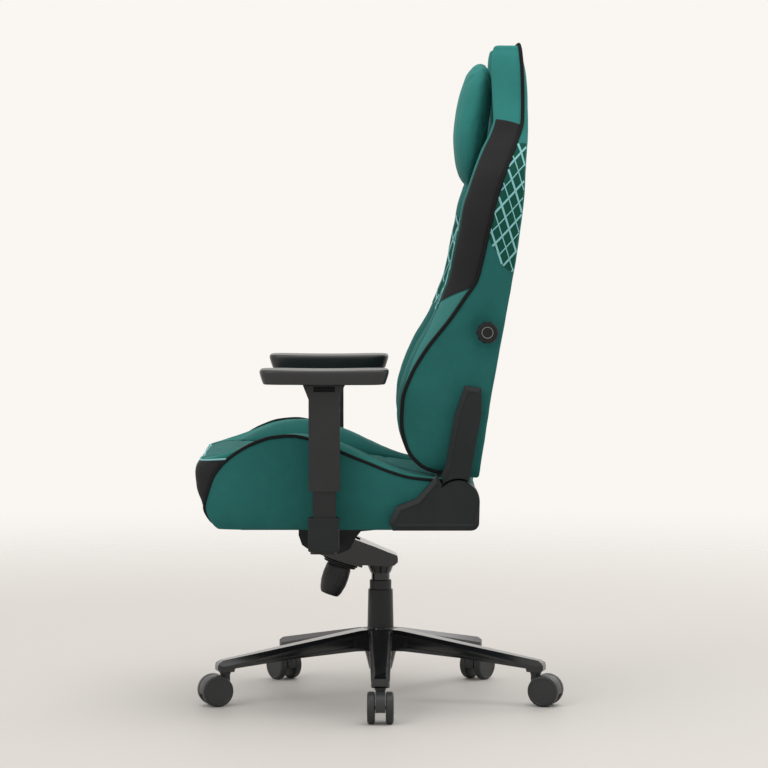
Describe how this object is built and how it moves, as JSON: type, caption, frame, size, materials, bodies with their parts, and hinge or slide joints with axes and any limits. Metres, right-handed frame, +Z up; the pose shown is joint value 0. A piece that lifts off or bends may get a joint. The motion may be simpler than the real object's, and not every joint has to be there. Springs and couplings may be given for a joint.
{
  "type": "gaming chair",
  "caption": "Racing-style swivel chair with bucket seat, reclining back, head pillow, lumbar knobs, adjustable armrests and five-star base on casters.",
  "frame": {"origin": "on the floor, on the swivel axis of the gas lift, with the chair standing on its casters", "axes": "+Z up, the chair faces -Y, the sitter's left is +X"},
  "size_m": [0.748, 0.75, 1.345],
  "materials": {
    "black_metal": "satin black",
    "steel": "turned and zinc-plated",
    "frame_steel": "matt black powder coat",
    "black_plastic": "fine-textured moulding",
    "cover_plastic": "fine-textured moulding",
    "bush_plastic": "smooth",
    "webbing": "woven elastic",
    "teal_fabric": "suede-like woven fabric",
    "black_fabric": "black fabric side band and piping",
    "pattern_fabric": "dark green fabric with a light teal lattice",
    "arm_metal": "satin black",
    "pad_foam": "soft-touch polyurethane",
    "caster_tyre": "nylon"
  },
  "bodies": {
    "base": {"base_star": "black_metal", "gas_tube": "black_metal", "guide_bush": "black_plastic", "thrust_bearing": "steel"},
    "spindle": {"piston_rod": "steel"},
    "column": {"pressure_tube": "steel", "tilt_housing": "black_metal", "tension_collar": "black_plastic", "tension_spring": "steel", "pivot_bushes": "bush_plastic"},
    "knob": {"tension_knob": "black_plastic", "tension_bolt": "steel"},
    "seat": {"tilt_bracket": "black_metal", "pivot_axle": "steel", "seat_frame": "frame_steel", "seat_webbing": "webbing", "seat_bolts": "steel", "seat_cushion": "teal_fabric", "recliner_plates": "frame_steel", "side_cover_left": "cover_plastic", "side_cover_right": "cover_plastic", "arm_bracket_left": "cover_plastic", "arm_bracket_right": "cover_plastic", "arm_post_left": "arm_metal", "arm_post_right": "arm_metal"},
    "height_lever": {"height_lever_rod": "steel", "height_lever_handle": "black_plastic"},
    "lock_lever": {"lock_lever_rod": "steel", "lock_lever_handle": "black_plastic"},
    "recliner": {"recline_rod": "steel", "recline_lever": "black_plastic"},
    "back": {"back_frame": "frame_steel", "back_cushion": "teal_fabric", "back_cover_left": "cover_plastic", "back_cover_right": "cover_plastic"},
    "lumbar_height": {"lumbar_carriage": "frame_steel"},
    "lumbar_depth": {"lumbar_plate": "frame_steel"},
    "pillow": {"head_pillow": "teal_fabric"},
    "lumbar_knob_left": {"lumbar_knob_left": "black_plastic"},
    "arm_left": {"arm_sleeve_left": "cover_plastic"},
    "arm_button_left": {"arm_button_left": "black_plastic"},
    "arm_swivel_left": {"arm_swivel_left": "frame_steel"},
    "arm_slide_left": {"arm_slide_left": "frame_steel"},
    "arm_pad_left": {"arm_pad_left": "pad_foam"},
    "lumbar_knob_right": {"lumbar_knob_right": "black_plastic"},
    "arm_right": {"arm_sleeve_right": "cover_plastic"},
    "arm_button_right": {"arm_button_right": "black_plastic"},
    "arm_swivel_right": {"arm_swivel_right": "frame_steel"},
    "arm_slide_right": {"arm_slide_right": "frame_steel"},
    "arm_pad_right": {"arm_pad_right": "pad_foam"},
    "caster_1": {"caster_fork_1": "black_plastic"},
    "wheels_1": {"caster_wheels_1": "caster_tyre"},
    "caster_2": {"caster_fork_2": "black_plastic"},
    "wheels_2": {"caster_wheels_2": "caster_tyre"},
    "caster_3": {"caster_fork_3": "black_plastic"},
    "wheels_3": {"caster_wheels_3": "caster_tyre"},
    "caster_4": {"caster_fork_4": "black_plastic"},
    "wheels_4": {"caster_wheels_4": "caster_tyre"},
    "caster_5": {"caster_fork_5": "black_plastic"},
    "wheels_5": {"caster_wheels_5": "caster_tyre"}
  },
  "joints": [
    {"name": "chair_swivel", "type": "hinge", "parent": "base", "child": "spindle", "pos_m": [0, 0, 0.04], "axis": [0, 0, 1], "continuous": true},
    {"name": "gas_lift", "type": "slide", "parent": "spindle", "child": "column", "axis": [0, 0, 1], "range_m": [0, 0.08]},
    {"name": "tilt", "type": "hinge", "parent": "column", "child": "seat", "pos_m": [0, -0.136, 0.354], "axis": [-1, 0, 0], "range_deg": [0, 28], "stiffness_Nm_per_rad": 130, "springref_deg": -31.51},
    {"name": "recline", "type": "hinge", "parent": "seat", "child": "back", "pos_m": [0, 0.155, 0.435], "axis": [-1, 0, 0], "range_deg": [0, 60]},
    {"name": "tension_turn", "type": "hinge", "parent": "column", "child": "knob", "pos_m": [0, -0.084, 0.281], "axis": [0, -0.3256, -0.9455], "range_deg": [-180, 180]},
    {"name": "height_pull", "type": "hinge", "parent": "seat", "child": "height_lever", "pos_m": [-0.07, -0.098, 0.33], "axis": [-1, 0, 0], "range_deg": [0, 15], "stiffness_Nm_per_rad": 0.6, "springref_deg": -17.19},
    {"name": "lock_pull", "type": "hinge", "parent": "seat", "child": "lock_lever", "pos_m": [0.07, -0.098, 0.33], "axis": [-1, 0, 0], "range_deg": [0, 15], "stiffness_Nm_per_rad": 0.6, "springref_deg": -17.19},
    {"name": "recline_pull", "type": "hinge", "parent": "seat", "child": "recliner", "pos_m": [-0.29, 0.155, 0.435], "axis": [-1, 0, 0], "range_deg": [0, 25], "stiffness_Nm_per_rad": 1.2, "springref_deg": -20.05},
    {"name": "lumbar_raise", "type": "slide", "parent": "back", "child": "lumbar_height", "axis": [0, 0, 1], "range_m": [-0.02, 0.02]},
    {"name": "lumbar_push", "type": "slide", "parent": "lumbar_height", "child": "lumbar_depth", "axis": [0, -1, 0], "range_m": [0, 0.015]},
    {"name": "pillow_height", "type": "slide", "parent": "back", "child": "pillow", "axis": [0, 0, 1], "range_m": [-0.05, 0.03]},
    {"name": "lumbar_turn_left", "type": "hinge", "parent": "back", "child": "lumbar_knob_left", "pos_m": [0.25, 0.213, 0.77], "axis": [1, 0, 0], "range_deg": [0, 180]},
    {"name": "arm_height_left", "type": "slide", "parent": "seat", "child": "arm_left", "axis": [0, 0, 1], "range_m": [-0.05, 0.03]},
    {"name": "arm_press_left", "type": "slide", "parent": "arm_left", "child": "arm_button_left", "axis": [-1, 0, 0], "range_m": [0, 0.003], "stiffness_N_per_m": 400, "springref_m": -0.002},
    {"name": "arm_turn_left", "type": "hinge", "parent": "arm_left", "child": "arm_swivel_left", "pos_m": [0.311, -0.111, 0.668], "axis": [0, 0, 1], "range_deg": [-20, 20]},
    {"name": "arm_spread_left", "type": "slide", "parent": "arm_swivel_left", "child": "arm_slide_left", "axis": [1, 0, 0], "range_m": [-0.02, 0.02]},
    {"name": "arm_reach_left", "type": "slide", "parent": "arm_slide_left", "child": "arm_pad_left", "axis": [0, -1, 0], "range_m": [-0.01, 0.028]},
    {"name": "lumbar_turn_right", "type": "hinge", "parent": "back", "child": "lumbar_knob_right", "pos_m": [-0.25, 0.213, 0.77], "axis": [-1, 0, 0], "range_deg": [-120, 120]},
    {"name": "arm_height_right", "type": "slide", "parent": "seat", "child": "arm_right", "axis": [0, 0, 1], "range_m": [-0.05, 0.03]},
    {"name": "arm_press_right", "type": "slide", "parent": "arm_right", "child": "arm_button_right", "axis": [1, 0, 0], "range_m": [0, 0.003], "stiffness_N_per_m": 400, "springref_m": -0.002},
    {"name": "arm_turn_right", "type": "hinge", "parent": "arm_right", "child": "arm_swivel_right", "pos_m": [-0.311, -0.111, 0.668], "axis": [0, 0, -1], "range_deg": [-20, 20]},
    {"name": "arm_spread_right", "type": "slide", "parent": "arm_swivel_right", "child": "arm_slide_right", "axis": [-1, 0, 0], "range_m": [-0.02, 0.02]},
    {"name": "arm_reach_right", "type": "slide", "parent": "arm_slide_right", "child": "arm_pad_right", "axis": [0, -1, 0], "range_m": [-0.01, 0.028]},
    {"name": "caster_swivel_1", "type": "hinge", "parent": "base", "child": "caster_1", "pos_m": [0.334, 0, 0.07], "axis": [0, 0, 1], "continuous": true},
    {"name": "caster_roll_1", "type": "hinge", "parent": "caster_1", "child": "wheels_1", "pos_m": [0.355, 0, 0.032], "axis": [0, 1, 0], "continuous": true},
    {"name": "caster_swivel_2", "type": "hinge", "parent": "base", "child": "caster_2", "pos_m": [0.10321, 0.31765, 0.07], "axis": [0, 0, 1], "continuous": true},
    {"name": "caster_roll_2", "type": "hinge", "parent": "caster_2", "child": "wheels_2", "pos_m": [0.1097, 0.33763, 0.032], "axis": [-0.9511, 0.309, 0], "continuous": true},
    {"name": "caster_swivel_3", "type": "hinge", "parent": "base", "child": "caster_3", "pos_m": [-0.27021, 0.19632, 0.07], "axis": [0, 0, 1], "continuous": true},
    {"name": "caster_roll_3", "type": "hinge", "parent": "caster_3", "child": "wheels_3", "pos_m": [-0.2872, 0.20866, 0.032], "axis": [-0.5878, -0.809, 0], "continuous": true},
    {"name": "caster_swivel_4", "type": "hinge", "parent": "base", "child": "caster_4", "pos_m": [-0.27021, -0.19632, 0.07], "axis": [0, 0, 1], "continuous": true},
    {"name": "caster_roll_4", "type": "hinge", "parent": "caster_4", "child": "wheels_4", "pos_m": [-0.2872, -0.20866, 0.032], "axis": [0.5878, -0.809, 0], "continuous": true},
    {"name": "caster_swivel_5", "type": "hinge", "parent": "base", "child": "caster_5", "pos_m": [0.10321, -0.31765, 0.07], "axis": [0, 0, 1], "continuous": true},
    {"name": "caster_roll_5", "type": "hinge", "parent": "caster_5", "child": "wheels_5", "pos_m": [0.1097, -0.33763, 0.032], "axis": [0.9511, 0.309, 0], "continuous": true}
  ],
  "couplings": [
    {"joint": "lumbar_turn_left", "follows": "lumbar_push", "rad_per_m": 209.44},
    {"joint": "lumbar_turn_right", "follows": "lumbar_raise", "rad_per_m": 104.72}
  ]
}
